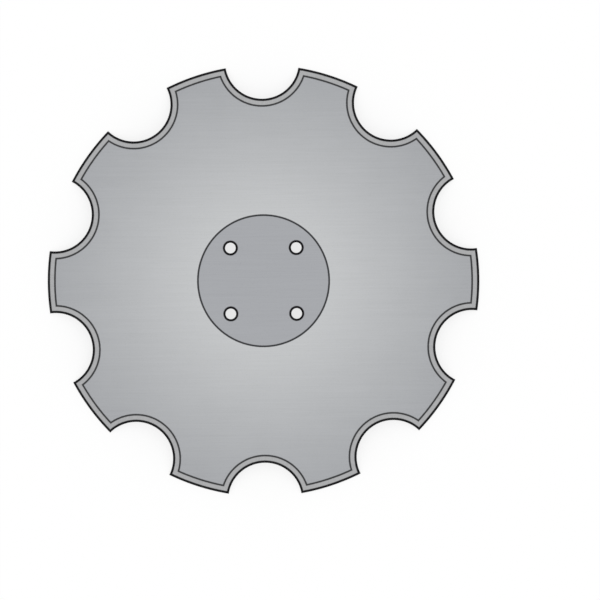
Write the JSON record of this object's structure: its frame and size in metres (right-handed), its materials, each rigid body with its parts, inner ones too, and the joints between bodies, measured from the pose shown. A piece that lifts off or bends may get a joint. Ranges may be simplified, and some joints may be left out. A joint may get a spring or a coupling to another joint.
{
  "type": "harrow disc blade",
  "caption": "Dished round steel disc blade with scalloped, bevelled cutting teeth and a flat centre with bolt holes for a harrow hub.",
  "frame": {"origin": "on the disc's axis, in the plane of the rim, which is the plane that the teeth rest on", "axes": "+Z along the disc's axis towards the crown, +X through the middle of a tooth, +Y through the middle of a notch"},
  "size_m": [0.51, 0.5026, 0.056],
  "materials": {
    "blade_steel": "bare hardened steel, satin grey, with a ground bevel"
  },
  "bodies": {
    "root": {"disc_blade": "blade_steel"}
  },
  "joints": []
}
